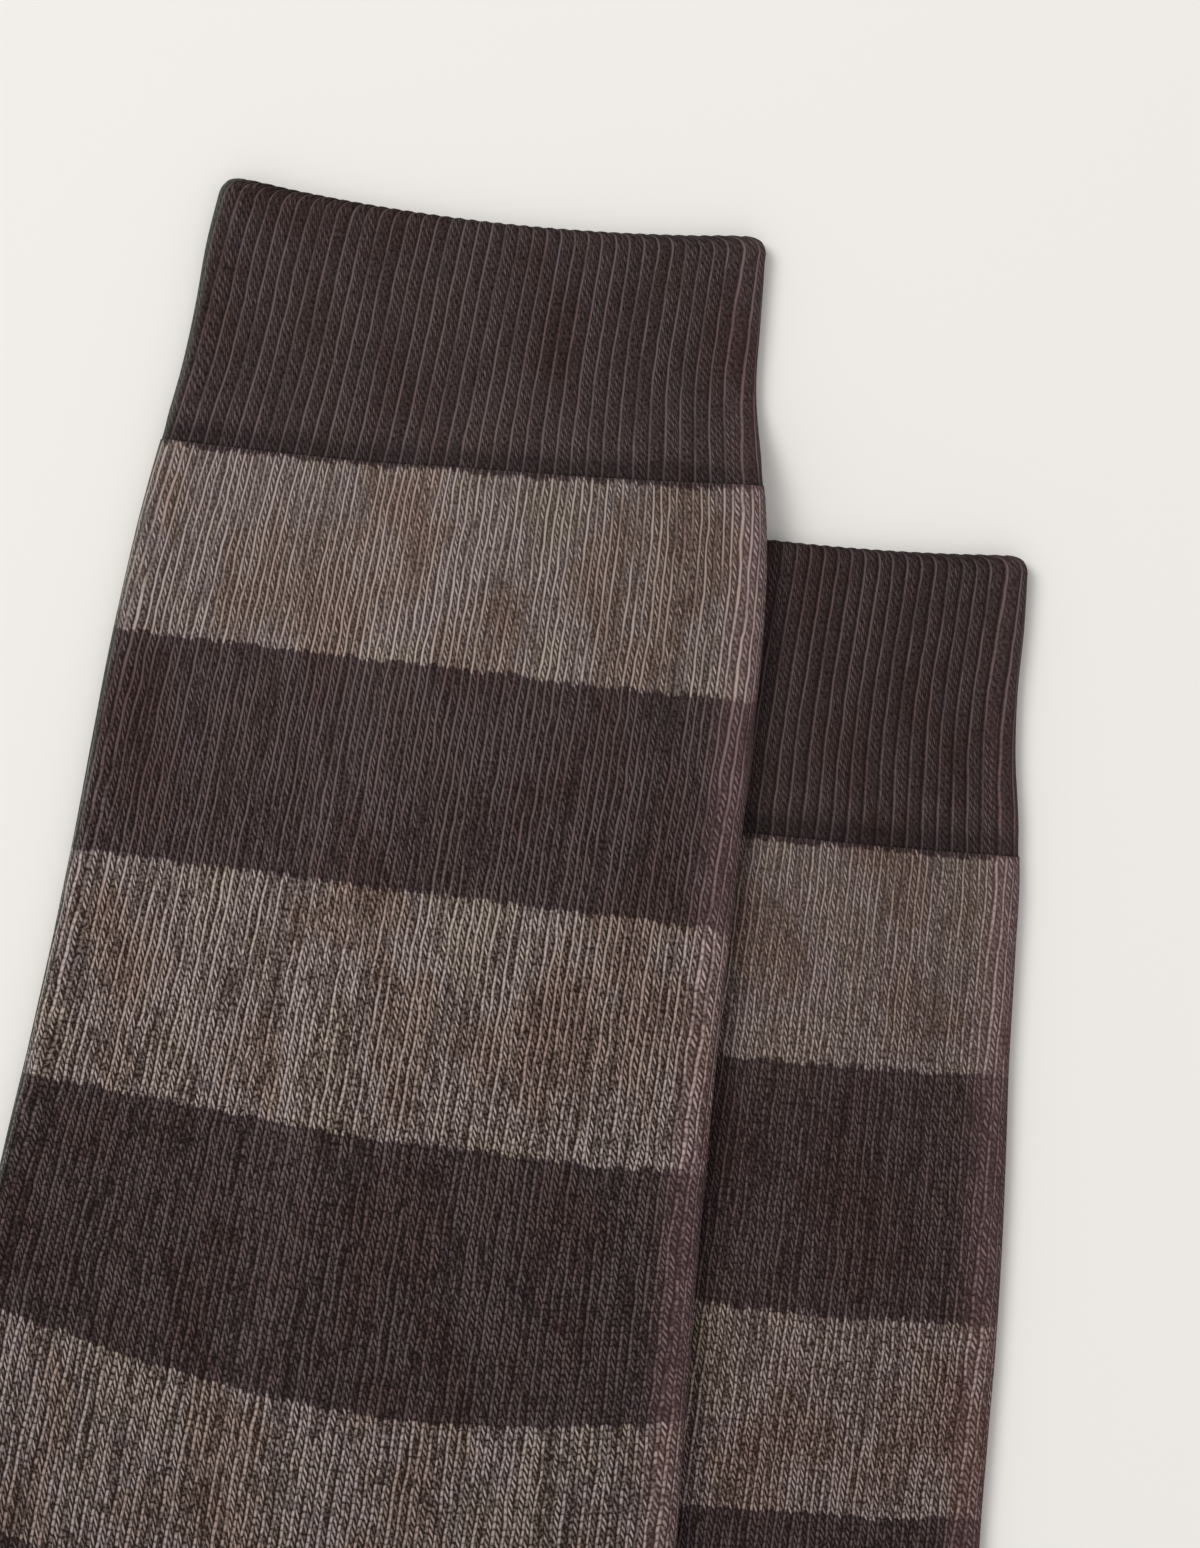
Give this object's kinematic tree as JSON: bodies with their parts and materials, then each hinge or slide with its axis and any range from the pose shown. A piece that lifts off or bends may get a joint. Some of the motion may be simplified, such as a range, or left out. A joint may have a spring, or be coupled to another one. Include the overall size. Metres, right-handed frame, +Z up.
{
  "type": "pair of socks",
  "caption": "Pair of striped knee-high socks with ribbed cuffs, laid flat in profile, the upper sock partly over the lower one.",
  "frame": {"origin": "middle of the pair's footprint, on the surface that it lies on", "axes": "+Z up from the surface, +Y towards the mouths of the cuffs, +X towards the heels"},
  "size_m": [0.3334, 0.5214, 0.0094],
  "materials": {
    "dark_yarn": "matte",
    "taupe_yarn": "matte"
  },
  "bodies": {
    "root": {"lower_cuff": "dark_yarn", "lower_leg_and_foot": "taupe_yarn", "lower_heel": "dark_yarn", "lower_toe": "dark_yarn", "upper_cuff": "dark_yarn", "upper_leg_and_foot": "taupe_yarn", "upper_heel": "dark_yarn", "upper_toe": "dark_yarn"}
  },
  "joints": []
}
